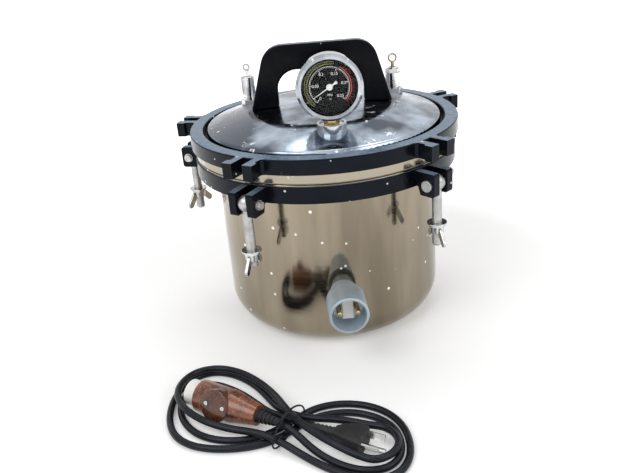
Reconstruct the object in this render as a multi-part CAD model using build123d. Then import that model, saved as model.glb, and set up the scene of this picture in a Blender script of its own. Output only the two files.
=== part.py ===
from build123d import *
import math
import os

# Portable pressure steam steriliser with a detached mains lead.
# Millimetres, +Z up. The origin is the middle of the pot's underside.

# ---------------------------------------------------------------- vessel
pot_radius = 126.0            # outside of the drawn pot
pot_wall = 1.5
pot_corner_radius = 34.0
inner_bend_steps = 6          # flats that follow the corner inside
vessel_height = 203.0         # floor to the sealing face of the flange
flange_reach = 21.0           # flange beyond the pot wall
flange_root_radius = 2.5

# ---------------------------------------------------------------- clamp rings
lug_count = 5
first_lug_angle = 24.0
lower_ring_reach = 22.5       # lower ring beyond the pot wall
lower_ring_height = 17.5
lower_ring_bore_clearance = 0.4
lid_ring_overhang = 3.0       # upper ring beyond the lower one
lid_ring_width = 15.0
lid_ring_height = 16.0

# ---------------------------------------------------------------- swing bolts
pin_reach = 15.5              # bolt axis beyond the lower ring
pin_drop = 15.0               # pin below the vessel's sealing face
pin_radius = 3.9
pin_head_radius = 6.2
pin_head_length = 3.2
pin_tail_length = 5.0
pin_hole_clearance = 0.1      # fixed pin in the ears
eye_clearance = 0.06          # turning eye on the pin
ear_thickness = 8.0
ear_gap = 12.6
ear_end_reach = 8.5           # ear beyond the pin axis
ear_drop = 12.0               # ear below the pin axis
eye_radius = 8.6
eye_width = 12.0
rod_radius = 5.0
rod_length = 70.0             # pin axis to the free end
slot_side_clearance = 1.3     # fork slot beside the rod
fork_end_reach = 8.0          # prong beyond the bolt axis
prong_width = 8.0
prong_end_width = 11.0
prong_end_length = 9.0

# ---------------------------------------------------------------- washers and wing nuts
washer_radius = 10.5
washer_hole_clearance = 0.3
washer_thickness = 1.6
nut_play = 0.05               # nut bore beside the rod
nut_washer_gap = 0.05
nut_collar_radius = 8.6
nut_collar_height = 2.2
nut_boss_radius = 7.2
nut_height = 9.0
wing_length = 21.0
wing_width = 8.0
wing_thickness = 3.2
wing_slope = 47.0             # degrees below the collar's plane
washer_gap_over_fork = 0.8    # swung up, washer face over the lid ring
extra_nut_drop = (2.0, 3.5, 0.0, 7.0, 0.0)      # how far each nut has run beyond that
nut_turn_angles = (20.0, 75.0, 68.0, 12.0, -28.0)

# ---------------------------------------------------------------- lid
lid_sheet = 1.5
lid_rim_gap = 2.2             # lid rim above the vessel flange
lid_rim_depth = 9.6
lid_rim_overhang = 0.7        # lid rim beyond the vessel flange
lid_wall_step = 6.2           # lid wall beyond the pot wall
lid_root_radius = 3.0
shoulder_radius = 4.0
shoulder_rise = 2.2           # shoulder above the top of the lid ring
crown_rise = 15.2             # crown above the shoulder
crown_radius = 1000.0
knee_radius = 85.0            # where the flat crown meets the conical skirt
knee_round = 60.0
rim_round = 2.2
bevel_share = 0.45            # bevel against the radius it stands for
gasket_inner_reach = 11.5     # gasket bore beyond the pot wall
gasket_side_clearance = 0.3
gasket_edge_bevel = 0.8
seat_clearance = 0.05         # between fittings and the sheet they stand on

# ---------------------------------------------------------------- handle
handle_foot_half = 79.5
handle_shoulder_half = 62.5
handle_height = 67.0          # crown to the top of the grip
handle_shoulder_drop = 14.0
handle_corner_radius = 21.0
window_half = 48.0
window_rise = 39.0            # crown to the underside of the grip
window_corner_radius = 22.0
handle_thickness = 12.0
handle_edge_radius = 2.6
handle_screw_spacing = 16.0
handle_screw_radius = 2.5
handle_screw_head_radius = 4.6
handle_screw_head_height = 3.0
handle_screw_depth = 14.0

# ---------------------------------------------------------------- pressure gauge
gauge_x = 8.5
gauge_setback = 38.0          # gauge inside the pot wall
gauge_case_radius = 32.0
gauge_case_depth = 26.0
gauge_case_lift = 10.0        # underside of the case above the lid
bezel_radius = 33.6
bezel_depth = 5.4
case_inset = 1.8              # case mouth behind the bezel's face
bezel_lip = 4.2
bezel_wall = 1.4
dial_radius = 30.0
dial_thickness = 0.8
dial_depth = 7.0              # bezel front to dial face
lens_thickness = 1.8
lens_inset = 1.6
pointer_length = 20.0
pointer_tail = 9.0
pointer_width = 1.6
pointer_thickness = 0.5
pointer_hub_radius = 3.2
pointer_gap = 1.0
spindle_radius = 1.0
spindle_play = 0.05
spindle_length = 3.0
pointer_zero_angle = 212.0    # degrees round the dial from +X
stem_hex = 14.0
stem_thread_radius = 6.0
fitting_hole_clearance = 0.3
seat_nut_radius = 15.5
seat_nut_height = 4.6
seat_recess_radius = 12.6
seat_recess_depth = 1.4
under_nut_hex = 19.0
under_nut_height = 5.0
thread_tail = 2.0             # thread beyond the nut inside the lid

# ---------------------------------------------------------------- valves
valve_x = 85.0
valve_y = 40.0
vent_hex = 17.0
vent_hex_height = 6.0
vent_radius = 7.4
vent_height = 33.0
vent_thread_radius = 5.0
vent_groove_depth = 1.0
toggle_pin_radius = 1.2
toggle_play = 0.06
toggle_axis_rise = 4.8        # toggle axis over the valve's barrel
toggle_thickness = 2.7
toggle_side_play = 0.15
toggle_ear_thickness = 1.8
toggle_hub_radius = 2.5
toggle_ring_reach = 5.4
toggle_ring_radius = 4.2
toggle_ring_hole = 2.4
safety_hex = 19.0
safety_hex_height = 7.0
safety_radius = 8.8
safety_height = 31.0
safety_thread_radius = 6.0
safety_stem_radius = 2.2
safety_stem_play = 0.06
safety_stem_reach = 6.0
safety_stem_depth = 14.0
safety_ring_radius = 4.4
safety_ring_wire = 1.1

# ---------------------------------------------------------------- heater socket
socket_angle = -86.0
socket_height = 72.0
socket_neck_radius = 14.4
socket_neck_length = 15.0
shroud_radius = 20.4
shroud_length = 37.0
shroud_wall = 2.6
shroud_bore_depth = 31.0
terminal_bore_radius = 10.0
insulator_plate = 6.0
insulator_clearance = 0.1
ceramic_block_width = 12.0
ceramic_block_height = 22.0
ceramic_block_length = 12.0
contact_spacing = 19.0
contact_radius = 2.7
contact_reach = 21.0

# ---------------------------------------------------------------- inside the vessel
element_radius = 4.0
element_loop_gap = 48.0       # heater loop inside the pot wall
element_height = 16.0
element_leg_spacing = 11.0
element_wall_gap = 3.0
rack_gap = 24.0               # rack and drum inside the pot wall
rack_thickness = 1.5
rack_height = 44.0
rack_hole_radius = 5.0
rack_hole_pitch = 34.0
rack_leg_radius = 4.0
rack_leg_inset = 15.0
drum_wall = 1.2
drum_height = 138.0
drum_corner_radius = 10.0
drum_lip = 2.6
rest_gap = 0.05

# ---------------------------------------------------------------- mains lead
cord_diameter = 7.0
hank_height = 18.0
hank_outline = [
    (-129, -157), (-153, -161), (-170, -181), (-176, -212), (-168, -253),
    (-147, -276), (-112, -284), (-72, -281), (-29, -314), (3, -334),
    (34, -336), (56, -314), (61, -284), (46, -244), (12, -224), (-16, -225),
    (-38, -239), (-57, -234), (-82, -189), (-104, -165)]
hank_windows = [               # x, y, turn, length, width of the space inside each loop
    (-122, -201, -17, 84, 30), (11, -278, -30, 84, 52)]
connector_face = (-140.0, -215.7)
connector_angle = -32.3
connector_radius = 16.0
connector_barrel = 40.0
connector_length = 70.0
connector_tail_radius = 10.0
sleeve_radius = 13.0
sleeve_proud = 13.0
sleeve_bore = 4.0
relief_length = 24.0
relief_radius = 7.0
plug_face = (16.0, -292.0)
plug_angle = -28.0
plug_length = 29.0
plug_width = 26.0
plug_thickness = 20.0
plug_tail_width = 14.0
blade_width = 6.3
blade_thickness = 1.6
blade_length = 17.0
earth_blade_length = 20.0
blade_spacing = 7.9
plug_relief_length = 24.0
plug_relief_radius = 5.5
tie_middle = (-50.0, -263.0)
tie_angle = -34.0
waist_width = 46.0
tie_width = 3.0
tie_thickness = 1.2
lead_clearance = 0.6

# ---------------------------------------------------------------- worked out from the above
lower_ring_radius = pot_radius + lower_ring_reach
lid_ring_radius = lower_ring_radius + lid_ring_overhang
pin_circle_radius = lower_ring_radius + pin_reach
pin_height = vessel_height - pin_drop
lug_angles = [first_lug_angle + 360.0 / lug_count * k for k in range(lug_count)]
lower_ring_top = vessel_height - pot_wall
lower_ring_bottom = lower_ring_top - lower_ring_height
flange_radius = pot_radius + flange_reach
lid_rim_radius = flange_radius + lid_rim_overhang
lid_wall_radius = pot_radius + lid_wall_step
lid_rim_bottom = vessel_height + lid_rim_gap
lid_flange_top = lid_rim_bottom + lid_rim_depth
lid_ring_top = lid_flange_top + lid_ring_height
lid_ring_bore = lid_ring_radius - lid_ring_width
shoulder_top = lid_ring_top + shoulder_rise
crown_top = shoulder_top + crown_rise
shoulder_edge = lid_wall_radius - shoulder_radius
slot_half = rod_radius + slot_side_clearance
washer_top_distance = lid_ring_top - pin_height + washer_gap_over_fork
gauge_y = gauge_setback - pot_radius
gauge_radius_out = math.hypot(gauge_x, gauge_y)
gasket_inner_radius = pot_radius + gasket_inner_reach
element_loop_radius = pot_radius - element_loop_gap
rack_radius = pot_radius - rack_gap
rack_leg_circle = rack_radius - rack_leg_inset
drum_radius = rack_radius


os.makedirs("parts", exist_ok=True)


def write(name, shape):
    """Give the node its name and write it."""
    shape.label = name
    export_step(shape, f"parts/{name}.step")


def spin(points_and_arcs):
    """A solid of revolution about Z from a closed list of edges in the XZ plane."""
    face = make_face(points_and_arcs)
    return revolve(Plane.XZ * face, Axis.Z)


def tube(outer, inner, bottom, top):
    """An upright ring."""
    ring = Pos(0, 0, bottom) * extrude(Circle(outer) - Circle(inner), top - bottom)
    return ring


def rod(radius, bottom, top):
    """An upright cylinder."""
    return Pos(0, 0, bottom) * extrude(Circle(radius), top - bottom)


def at_angle(shape, angle):
    """Turn a piece made on +X to its place round the pot."""
    return Rot(0, 0, angle) * shape


# ---------------------------------------------------------------- the lid's curve
def crown_height(radius):
    """Height of the crown's sphere at a distance from the axis."""
    return crown_top - crown_radius + math.sqrt(crown_radius ** 2 - radius ** 2)


def lid_height(radius):
    """Height of the lid's outer skin: a flat crown, then a cone down to the shoulder."""
    if radius <= knee_radius:
        return crown_height(radius)
    share = (radius - knee_radius) / (shoulder_edge - knee_radius)
    return crown_height(knee_radius) + share * (shoulder_top - crown_height(knee_radius))


def lid_region(inset, bottom, rounded=True):
    """The space under the lid's skin, with the skin moved inwards by inset."""
    top = (0, crown_top - inset)
    middle = (knee_radius / 2, crown_height(knee_radius / 2) - inset)
    knee = (knee_radius, crown_height(knee_radius) - inset)
    crown = ThreePointArc(top, middle, knee) if rounded else Polyline(top, middle, knee)
    wall = lid_wall_radius - inset
    edge = (wall, lid_height(wall) - inset)
    rim = lid_rim_radius - inset
    shelf = lid_flange_top - inset
    skirt = Polyline(knee, edge, (wall, shelf), (rim, shelf), (rim, bottom), (0, bottom), top)
    face = make_face([crown, skirt])
    bends = [(edge, shoulder_radius), (knee, knee_round)]
    cuts = [((wall, shelf), lid_root_radius * bevel_share), ((rim, shelf), rim_round * bevel_share)]
    if not rounded:
        cuts.append((edge, shoulder_radius * bevel_share))
        bends = []
    for (x, y), size in bends + cuts:
        corner = [v for v in face.vertices() if abs(v.X - x) < 1e-3 and abs(v.Y - y) < 1e-3]
        face = fillet(corner, size) if ((x, y), size) in bends else chamfer(corner, size)
    return revolve(Plane.XZ * face, Axis.Z)


def under_lid(shape):
    """Trim a piece that stands on the lid to the lid's skin."""
    return shape - lid_region(-seat_clearance, 0)


def inside_lid(shape):
    """Trim a piece that bears on the lid's inner skin."""
    return shape & lid_region(lid_sheet + seat_clearance, lid_rim_bottom, False)


def hexagon(across_flats, bottom, top):
    """An upright hexagonal bar."""
    return Pos(0, 0, bottom) * extrude(RegularPolygon(across_flats / math.sqrt(3), 6), top - bottom)


# ---------------------------------------------------------------- vessel pieces
def vessel_pot():
    """Drawn pot: flat bottom, round corner, straight wall and a flat flange."""
    def shell(inset, top, steps=0):
        wall = pot_radius - inset
        corner = pot_corner_radius - inset
        centre = (wall - corner, inset + corner)

        def on_bend(share):
            angle = math.radians(-90 + 90 * share)
            return (centre[0] + corner * math.cos(angle), centre[1] + corner * math.sin(angle))

        bend = ThreePointArc(on_bend(0), on_bend(0.5), on_bend(1))
        if steps:
            bend = Polyline(*[on_bend(k / steps) for k in range(steps + 1)])
        return [
            Line((0, inset), on_bend(0)), bend,
            Polyline(on_bend(1), (wall, top), (0, top), (0, inset)),
        ]

    outside = spin(shell(0, vessel_height))
    flange = rod(flange_radius, vessel_height - pot_wall, vessel_height)
    outside += flange
    root = outside.edges().filter_by(GeomType.CIRCLE).filter_by(
        lambda e: abs(e.radius - pot_radius) < 0.01 and abs(e.center().Z - vessel_height + pot_wall) < 0.01)
    outside = chamfer(root, flange_root_radius)
    rim = outside.edges().filter_by(GeomType.CIRCLE).filter_by(lambda e: abs(e.radius - flange_radius) < 0.01)
    outside = chamfer(rim, pot_wall * 0.3)
    pot = outside - spin(shell(pot_wall, vessel_height + 1, inner_bend_steps))
    mouth = pot.edges().filter_by(GeomType.CIRCLE).filter_by(
        lambda e: abs(e.radius - pot_radius + pot_wall) < 0.01 and abs(e.center().Z - vessel_height) < 0.01)
    pot = chamfer(mouth, flange_root_radius * 0.6)
    hole = Pos(0, 0, socket_height) * Rot(0, 90, 0) * Cylinder(
        terminal_bore_radius, 2 * pot_radius, align=(Align.CENTER, Align.CENTER, Align.MIN))
    return pot - at_angle(hole, socket_angle)


def clamp_ring_lower():
    """Cast ring under the flange with a pair of ears for each swing bolt."""
    bore = pot_radius + lower_ring_bore_clearance
    ring = tube(lower_ring_radius, bore, lower_ring_bottom, lower_ring_top)
    ear_bottom = pin_height - ear_drop
    ear_end = pin_circle_radius + ear_end_reach
    root = lower_ring_radius - 4
    outline = Polyline(
        (root, lower_ring_bottom + 1), (lower_ring_radius + 3, lower_ring_bottom + 1),
        (lower_ring_radius + 6, ear_bottom), (ear_end, ear_bottom), (ear_end, lower_ring_top - 0.8),
        (root, lower_ring_top - 0.8), close=True)
    profile = make_face(outline)
    toes = [v for v in profile.vertices() if v.X > ear_end - 0.1]
    profile = fillet(toes, 3.0)
    ear = Plane.XZ * profile
    for side in (-1, 1):
        inner = side * ear_gap / 2
        plate = extrude(ear, ear_thickness, dir=(0, side, 0)).moved(Pos(0, inner, 0))
        for angle in lug_angles:
            ring += at_angle(plate, angle)
    drill = Pos(pin_circle_radius, 0, pin_height) * Rot(90, 0, 0) * Cylinder(
        pin_radius + pin_hole_clearance, 2 * (ear_gap + ear_thickness))
    for angle in lug_angles:
        ring -= at_angle(drill, angle)
    top_rim = ring.edges().filter_by(GeomType.CIRCLE).filter_by(
        lambda e: abs(e.radius - lower_ring_radius) < 0.01 and abs(e.center().Z - lower_ring_top) < 0.01)
    ring = chamfer(top_rim, 0.7)
    bore_rim = ring.edges().filter_by(GeomType.CIRCLE).filter_by(
        lambda e: abs(e.radius - bore) < 0.01 and abs(e.center().Z - lower_ring_top) < 0.01)
    return chamfer(bore_rim, flange_root_radius + 0.6)


def clevis_pins():
    """A headed pin through each pair of ears, with a peened collar on its tail."""
    half = ear_gap / 2 + ear_thickness
    head = half + pin_hole_clearance
    shank = rod(pin_radius, -head, half + pin_tail_length)
    cap = rod(pin_head_radius, -head - pin_head_length, -head)
    cap = fillet(cap.edges().group_by(Axis.Z)[0], 0.8)
    collar = rod(pin_radius + 1.2, half + pin_hole_clearance, half + pin_hole_clearance + 2)
    pin = shank + cap + collar
    pin = Pos(pin_circle_radius, 0, pin_height) * Rot(-90, 0, 0) * pin
    return Compound([at_angle(pin, angle) for angle in lug_angles])


def swing_bolt():
    """Eye bolt hanging from its pin, the rod straight down; built on +X."""
    eye = Sphere(eye_radius) & Box(2 * eye_radius, eye_width, 2 * eye_radius)
    shank = Pos(0, 0, -rod_length) * extrude(Circle(rod_radius), rod_length - eye_radius * 0.5)
    shank = fillet(shank.edges().group_by(Axis.Z)[0], rod_radius * 0.55)
    bolt = eye + shank
    bolt -= Rot(90, 0, 0) * Cylinder(pin_radius + eye_clearance, 2 * eye_width)
    return Pos(pin_circle_radius, 0, pin_height) * bolt


def washer(distance):
    """Flat washer round the rod, its upper face at a distance below the pin."""
    ring = tube(washer_radius, rod_radius + washer_hole_clearance, -distance - washer_thickness, -distance)
    rims = ring.edges().filter_by(GeomType.CIRCLE).filter_by(lambda e: e.radius > washer_radius - 0.1)
    ring = fillet(rims, 0.4)
    return Pos(pin_circle_radius, 0, pin_height) * ring


def wing_nut(distance, turned):
    """Wing nut below its washer, with both wings leaning down and out."""
    body = rod(nut_collar_radius, -nut_collar_height, 0)
    boss = Pos(0, 0, -nut_height) * extrude(Circle(nut_boss_radius), nut_height, taper=-4)
    body += boss & rod(nut_collar_radius, -nut_height, 0)
    paddle = extrude(SlotOverall(wing_length, wing_width), wing_thickness / 2, both=True)
    paddle = fillet(paddle.edges().group_by(Axis.Z)[0] + paddle.edges().group_by(Axis.Z)[-1], 1.0)
    root = nut_boss_radius - 2.0
    for side in (0, 180):
        wing = Rot(90, 0, 0) * Pos(wing_length / 2, 0, 0) * paddle
        wing = Pos(root, 0, -nut_height * 0.45) * Rot(0, wing_slope, 0) * wing
        body += Rot(0, 0, side) * wing
    body -= rod(rod_radius + nut_play, -60, 1)
    body = Rot(0, 0, turned) * body
    top = distance + washer_thickness + nut_washer_gap
    return Pos(pin_circle_radius, 0, pin_height - top) * body


# ---------------------------------------------------------------- lid pieces
def fitting_places():
    """Where the three fittings pass through the lid, with their thread radii."""
    return [
        (gauge_x, gauge_y, stem_thread_radius),
        (-valve_x, valve_y, vent_thread_radius),
        (valve_x, valve_y, safety_thread_radius),
    ]


def handle_screw_places():
    """Two screws in each foot of the handle."""
    foot_middle = (handle_foot_half + window_half) / 2
    half = handle_screw_spacing / 2
    return [(side * (foot_middle + along), 0) for side in (-1, 1) for along in (-half, half)]


def lid_dome():
    """Pressed lid: flat crown, skirt, upright wall and a channel rim over the gasket."""
    lid = lid_region(0, lid_rim_bottom) - lid_region(lid_sheet, lid_rim_bottom - 1, False)
    for x, y, radius in fitting_places():
        lid -= Pos(x, y, 0) * rod(radius + fitting_hole_clearance, lid_ring_top - 20, crown_top + 5)
    for x, y in handle_screw_places():
        lid -= Pos(x, y, 0) * rod(handle_screw_radius + 0.3, lid_ring_top - 20, crown_top + 5)
    return lid


def lid_ring():
    """Cast clamp ring on the lid's rim, with an open fork for each swing bolt."""
    ring = tube(lid_ring_radius, lid_ring_bore, lid_flange_top, lid_ring_top)
    root = lid_ring_radius - 4
    end = pin_circle_radius + fork_end_reach
    neck = end - prong_end_length
    near = slot_half
    for side in (-1, 1):
        outline = Polyline(
            (root, side * near), (end, side * near), (end, side * (near + prong_end_width)),
            (neck, side * (near + prong_end_width)), (neck - 2, side * (near + prong_width)),
            (lid_ring_radius + 1, side * (near + prong_width)),
            (root, side * (near + prong_width + 7)), close=True)
        prong = Pos(0, 0, lid_flange_top) * extrude(make_face(outline), lid_ring_height)
        for angle in lug_angles:
            ring += at_angle(prong, angle)
    slot = Pos(pin_circle_radius, 0, lid_flange_top - 1) * extrude(
        Pos(5, 0) * SlotOverall(2 * slot_half + 10, 2 * slot_half), lid_ring_height + 2)
    for angle in lug_angles:
        ring -= at_angle(slot, angle)
    corners = ring.edges().filter_by(GeomType.CIRCLE).filter_by(
        lambda e: abs(e.center().Z - lid_ring_top) < 0.01 and e.radius > lid_ring_bore - 1)
    return fillet(corners, 1.6)


def lid_gasket():
    """Square rubber ring in the lid's channel, resting on the vessel flange."""
    outer = lid_rim_radius - lid_sheet - gasket_side_clearance
    ring = tube(outer, gasket_inner_radius, vessel_height + rest_gap, lid_flange_top - lid_sheet - rest_gap)
    return chamfer(ring.edges().filter_by(GeomType.CIRCLE), gasket_edge_bevel)


def handle():
    """Flat bridge handle with a hand window, its feet shaped to the lid."""
    floor = lid_height(handle_foot_half) - 6
    top = crown_top + handle_height
    shoulder = top - handle_shoulder_drop
    foot = handle_foot_half
    outline = make_face(Polyline(
        (-foot, floor), (-foot, floor + 8), (-handle_shoulder_half, shoulder),
        (-handle_shoulder_half + 20, top), (handle_shoulder_half - 20, top),
        (handle_shoulder_half, shoulder), (foot, floor + 8), (foot, floor), close=True))
    bends = [v for v in outline.vertices() if abs(v.Y - shoulder) < 0.1 or abs(v.Y - top) < 0.1]
    outline = fillet(bends, handle_corner_radius * 0.75)
    window_top = crown_top + window_rise
    window = make_face(Polyline(
        (-window_half, floor - 1), (-window_half, window_top), (window_half, window_top),
        (window_half, floor - 1), close=True))
    arch = [v for v in window.vertices() if v.Y > window_top - 0.1]
    window = fillet(arch, window_corner_radius)
    bridge = extrude(Plane.XZ * (outline - window), handle_thickness / 2, both=True)
    rims = bridge.edges().filter_by(
        lambda e: abs(abs(e.center().Y) - handle_thickness / 2) < 0.01 and e.center().Z > floor + 2)
    bridge = fillet(rims, handle_edge_radius)
    bridge = under_lid(bridge)
    for x, y in handle_screw_places():
        bridge -= Pos(x, y, 0) * rod(handle_screw_radius + 0.1, floor - 10, lid_height(abs(x)) + handle_screw_depth)
    return bridge


def handle_screws():
    """Pan-head screws from inside the lid into the feet of the handle."""
    screws = []
    for x, y in handle_screw_places():
        skin = lid_height(abs(x)) - lid_sheet
        shank = rod(handle_screw_radius, skin - 3, skin + lid_sheet + handle_screw_depth - 1)
        head = rod(handle_screw_head_radius, skin - handle_screw_head_height, skin + 2)
        head = head & lid_region(lid_sheet + seat_clearance, lid_rim_bottom, False).moved(Pos(-x, -y, 0))
        screws.append(Pos(x, y, 0) * (shank + head))
    return Compound(screws)


def gauge_base():
    """Height of the underside of the gauge's case."""
    return lid_height(gauge_radius_out) + gauge_case_lift


def gauge_frame(y):
    """Gauge axis frame: local +Z faces forward, the origin on the axis at depth y."""
    centre = gauge_base() + gauge_case_radius
    return Pos(gauge_x, y, centre) * Rot(90, 0, 0)


def gauge_front():
    """Front plane of the bezel."""
    return gauge_y - gauge_case_depth / 2


def gauge_case():
    """Round steel case, solid behind the dial, with a spindle bore."""
    dial_back = gauge_front() + dial_depth + dial_thickness
    back = gauge_front() + gauge_case_depth
    body = gauge_frame(back) * extrude(Circle(gauge_case_radius), gauge_case_depth - case_inset)
    recess = gauge_frame(dial_back) * extrude(Circle(dial_radius + 0.2), 40)
    body -= recess
    body = fillet(body.edges().filter_by(GeomType.CIRCLE).sort_by(Axis.Y)[-1], 3.0)
    body -= gauge_frame(dial_back + spindle_length) * extrude(Circle(spindle_radius + spindle_play), 20)
    return body


def gauge_bezel():
    """Chromed rim that grips the front of the case over the lens."""
    front = gauge_front()
    inner = gauge_case_radius + 0.1
    profile = make_face(Polyline(
        (inner, bezel_depth), (bezel_radius, bezel_depth), (bezel_radius, 2.5),
        (bezel_radius - 2.5, 0), (bezel_radius - bezel_lip - 1.2, 0.9), (bezel_radius - bezel_lip - 1.2, lens_inset),
        (inner, 0.9), close=True))
    ring = revolve(Plane.XZ * profile, Axis.Z)
    return gauge_frame(front) * Rot(180, 0, 0) * ring


def gauge_lens():
    """Flat window between the bezel's lip and the case."""
    back = gauge_front() + lens_inset + lens_thickness
    return gauge_frame(back) * extrude(Circle(dial_radius), lens_thickness - 0.1)


def gauge_dial():
    """Dial plate on the case, bored for the pointer's spindle."""
    back = gauge_front() + dial_depth + dial_thickness
    plate = gauge_frame(back) * extrude(Circle(dial_radius) - Circle(spindle_radius + spindle_play), dial_thickness)
    return plate


def gauge_pointer():
    """Pointer at zero, with a tail, a hub and a spindle through the dial."""
    face = gauge_front() + dial_depth
    needle = make_face(Polyline(
        (-pointer_tail, -pointer_width), (-pointer_tail, pointer_width), (-pointer_tail + 4.5, 0.7),
        (pointer_length, 0.25), (pointer_length, -0.25), (-pointer_tail + 4.5, -0.7), close=True))
    flat = extrude(needle + Circle(pointer_hub_radius), pointer_thickness)
    flat = Rot(0, 0, pointer_zero_angle) * flat
    spindle = rod(spindle_radius, -pointer_gap - dial_thickness - spindle_length + 0.2, 0.2)
    cap = rod(pointer_hub_radius * 0.6, pointer_thickness, pointer_thickness + 0.5)
    return gauge_frame(face - pointer_gap) * (flat + spindle + cap)


def gauge_stem():
    """Brass connection: hexagon under the case and a threaded shank through the lid."""
    skin = lid_height(gauge_radius_out)
    seat_top = skin + seat_nut_height
    tail = skin - lid_sheet - under_nut_height - thread_tail
    shank = Pos(gauge_x, gauge_y, 0) * rod(stem_thread_radius, tail, seat_top)
    head = Pos(gauge_x, gauge_y, 0) * hexagon(stem_hex, seat_top - seat_recess_depth, gauge_base() + 8)
    stem = shank + head
    return stem - gauge_frame(gauge_front() + gauge_case_depth + 1) * extrude(
        Circle(gauge_case_radius + seat_clearance), gauge_case_depth + 2)


def gauge_seat_nut():
    """Round dished seat between the stem's hexagon and the lid."""
    skin = lid_height(gauge_radius_out)
    disc = rod(seat_nut_radius, skin - 4, skin + seat_nut_height)
    disc -= rod(seat_recess_radius, skin + seat_nut_height - seat_recess_depth, skin + 20)
    disc = fillet(disc.edges().filter_by(GeomType.CIRCLE).group_by(Axis.Z)[-1], 0.7)
    disc -= rod(stem_thread_radius + 0.1, skin - 10, skin + 20)
    disc -= hexagon(stem_hex + 0.2, skin + seat_nut_height - seat_recess_depth - 0.05, skin + 30)
    return under_lid(Pos(gauge_x, gauge_y, 0) * disc)


def lid_under_nuts():
    """Hexagon nuts inside the lid that hold the gauge and both valves."""
    nuts = []
    for x, y, radius in fitting_places():
        skin = lid_height(math.hypot(x, y)) - lid_sheet
        nut = hexagon(under_nut_hex, skin - under_nut_height, skin + 4) - rod(radius + 0.1, skin - 20, skin + 20)
        nuts.append(inside_lid(Pos(x, y, 0) * nut))
    return Compound(nuts)


def vent_body():
    """Vent valve: threaded shank, hexagon, grooved barrel and two ears for the toggle."""
    skin = lid_height(math.hypot(valve_x, valve_y))
    hex_top = skin + vent_hex_height
    top = skin + vent_height
    barrel = rod(vent_radius, hex_top, top)
    barrel = fillet(barrel.edges().group_by(Axis.Z)[-1], 1.2)
    groove = tube(vent_radius + 1, vent_radius - vent_groove_depth, hex_top + 3, hex_top + 5)
    body = hexagon(vent_hex, skin - 3, hex_top) + (barrel - groove)
    half_gap = toggle_thickness / 2 + toggle_side_play
    outline = SlotOverall(2 * toggle_hub_radius + toggle_axis_rise * 2, 2 * toggle_hub_radius, rotation=90)
    ear = extrude(Plane.XZ * outline, toggle_ear_thickness, dir=(0, 1, 0))
    ear &= Pos(0, 0, 10 - 1) * Box(20, 20, 20)
    for y in (half_gap, -half_gap - toggle_ear_thickness):
        body += Pos(0, y, top) * ear
    drill = Rot(90, 0, 0) * Cylinder(toggle_pin_radius + toggle_play / 2, 20)
    body -= Pos(0, 0, top + toggle_axis_rise) * drill
    body = under_lid(Pos(-valve_x, valve_y, 0) * body)
    shank = rod(vent_thread_radius, skin - lid_sheet - under_nut_height - thread_tail, skin + 1.5)
    return body + Pos(-valve_x, valve_y, 0) * shank


def vent_axis_height():
    """Height of the toggle's pin."""
    return lid_height(math.hypot(valve_x, valve_y)) + vent_height + toggle_axis_rise


def vent_pin():
    """Cross pin of the toggle."""
    reach = toggle_thickness + 2 * (toggle_side_play + toggle_ear_thickness) + 1
    pin = Rot(90, 0, 0) * Cylinder(toggle_pin_radius, reach)
    return Pos(-valve_x, valve_y, vent_axis_height()) * pin


def vent_toggle():
    """Ring-shaped toggle, upright when the vent is shut."""
    ring = Pos(0, toggle_ring_reach) * Circle(toggle_ring_radius)
    plate = ring + Circle(toggle_hub_radius)
    plate -= Pos(0, toggle_ring_reach) * Circle(toggle_ring_hole)
    plate -= Circle(toggle_pin_radius + toggle_play)
    toggle = extrude(Plane.XZ * plate, toggle_thickness / 2, both=True)
    return Pos(-valve_x, valve_y, vent_axis_height()) * toggle


def safety_body():
    """Safety valve: shank, hexagon, spring barrel and a domed cap bored for the stem."""
    skin = lid_height(math.hypot(valve_x, valve_y))
    hex_top = skin + safety_hex_height
    top = skin + safety_height
    barrel = rod(safety_radius, hex_top + 2.5, top - 6) + rod(safety_radius - 1.6, hex_top, hex_top + 2.5)
    cap = hexagon(2 * safety_radius - 2.4, top - 6, top - 1.5) + rod(safety_radius - 3, top - 1.5, top)
    body = hexagon(safety_hex, skin - 3, hex_top) + barrel + cap
    body -= rod(safety_stem_radius + safety_stem_play, top - safety_stem_depth, top + 5)
    body = under_lid(Pos(valve_x, valve_y, 0) * body)
    shank = rod(safety_thread_radius, skin - lid_sheet - under_nut_height - thread_tail, skin + 1.5)
    return body + Pos(valve_x, valve_y, 0) * shank


def safety_stem():
    """Relief stem in the cap, with an eye for pulling it by hand."""
    top = lid_height(math.hypot(valve_x, valve_y)) + safety_height
    stem = rod(safety_stem_radius, top - safety_stem_depth + rest_gap, top + safety_stem_reach)
    eye = Rot(90, 0, 0) * Torus(safety_ring_radius, safety_ring_wire)
    stem += Pos(0, 0, top + safety_stem_reach + safety_ring_radius) * eye
    return Pos(valve_x, valve_y, 0) * stem


# ---------------------------------------------------------------- heater socket pieces
def on_socket(shape):
    """Place a piece built along +X from the pot's axis on the socket's axis."""
    return Rot(0, 0, socket_angle) * Pos(0, 0, socket_height) * shape


def along_x(radius, start, end):
    """A cylinder along +X."""
    return Pos(start, 0, 0) * Rot(0, 90, 0) * extrude(Circle(radius), end - start)


def shroud_start():
    """Where the wide shroud begins, from the pot's axis."""
    return pot_radius + socket_neck_length


def shroud_floor():
    """Bottom of the shroud's bore, from the pot's axis."""
    return shroud_start() + shroud_length - shroud_bore_depth


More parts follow.
